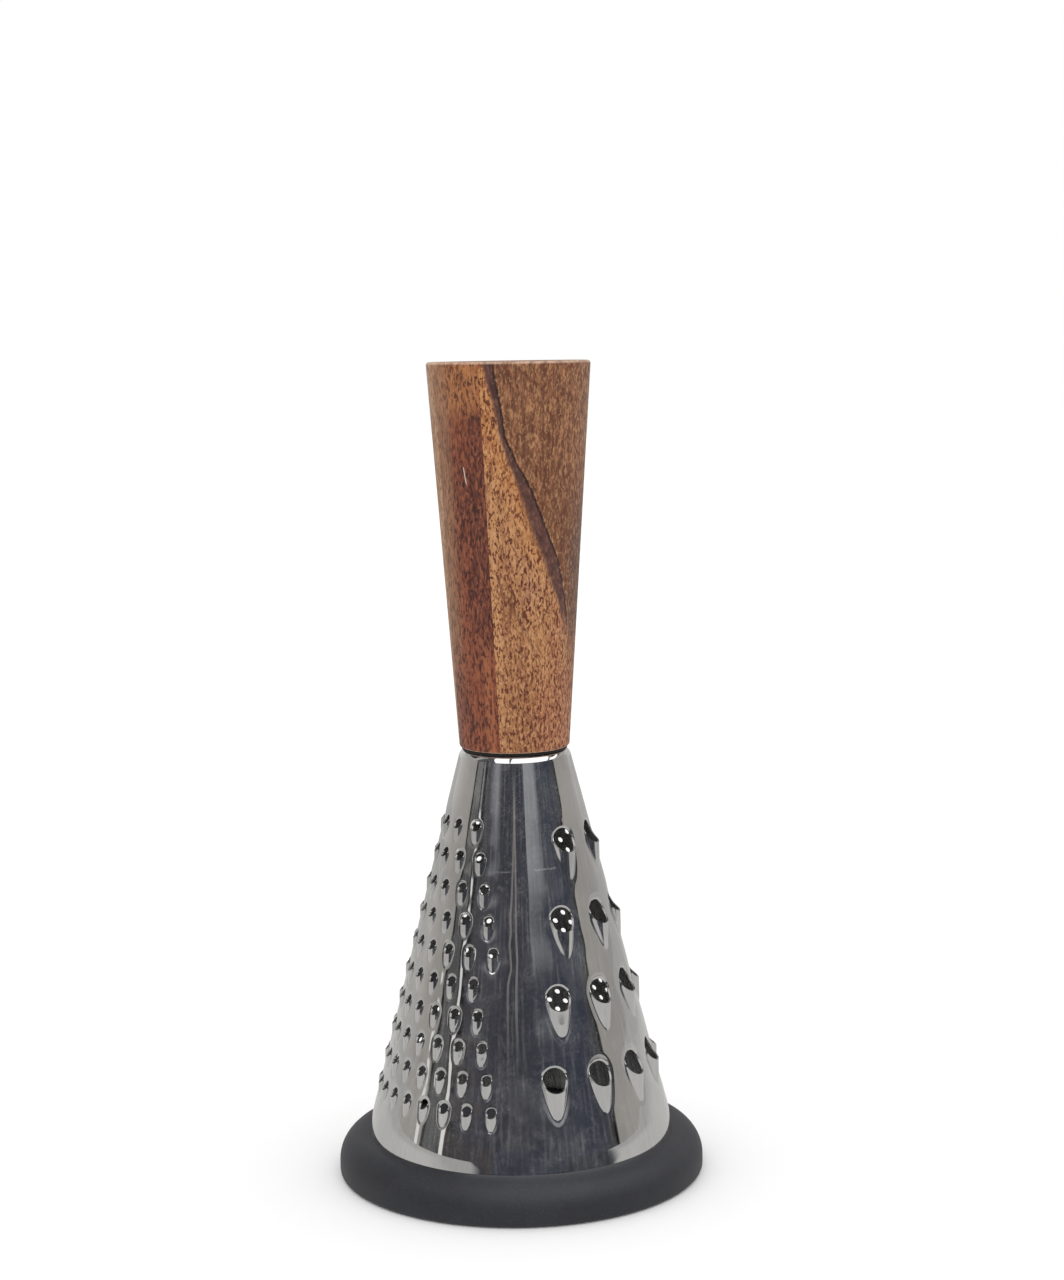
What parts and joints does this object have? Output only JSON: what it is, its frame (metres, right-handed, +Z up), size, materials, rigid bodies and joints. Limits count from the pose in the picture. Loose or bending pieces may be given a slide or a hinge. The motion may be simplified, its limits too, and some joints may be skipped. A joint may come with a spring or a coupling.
{
  "type": "cone grater",
  "caption": "Free-standing steel cone grater with coarse, medium and fine grating zones, a soft foot ring round its rim and a tapered laminated wood handle on top.",
  "frame": {"origin": "on the table, under the middle of the foot ring", "axes": "+Z up along the cone's axis, -Y towards the side between the medium and the coarse teeth, which is the front, +X to the right seen from the front"},
  "size_m": [0.1086, 0.1086, 0.24],
  "materials": {
    "polished_steel": "mirror polished",
    "foot_silicone": "matt",
    "gasket_rubber": "matt",
    "wood_left": "oiled satin",
    "wood_middle": "oiled satin",
    "wood_right": "oiled satin",
    "insert_brass": "machined",
    "fastener_steel": "zinc plated"
  },
  "bodies": {
    "root": {"grating_cone": "polished_steel", "foot_ring": "foot_silicone", "seat_gasket": "gasket_rubber", "handle_stave_left": "wood_left", "handle_stave_middle": "wood_middle", "handle_stave_right": "wood_right", "threaded_insert": "insert_brass", "flat_washer": "fastener_steel", "spring_washer": "fastener_steel", "fixing_screw": "fastener_steel"}
  },
  "joints": []
}
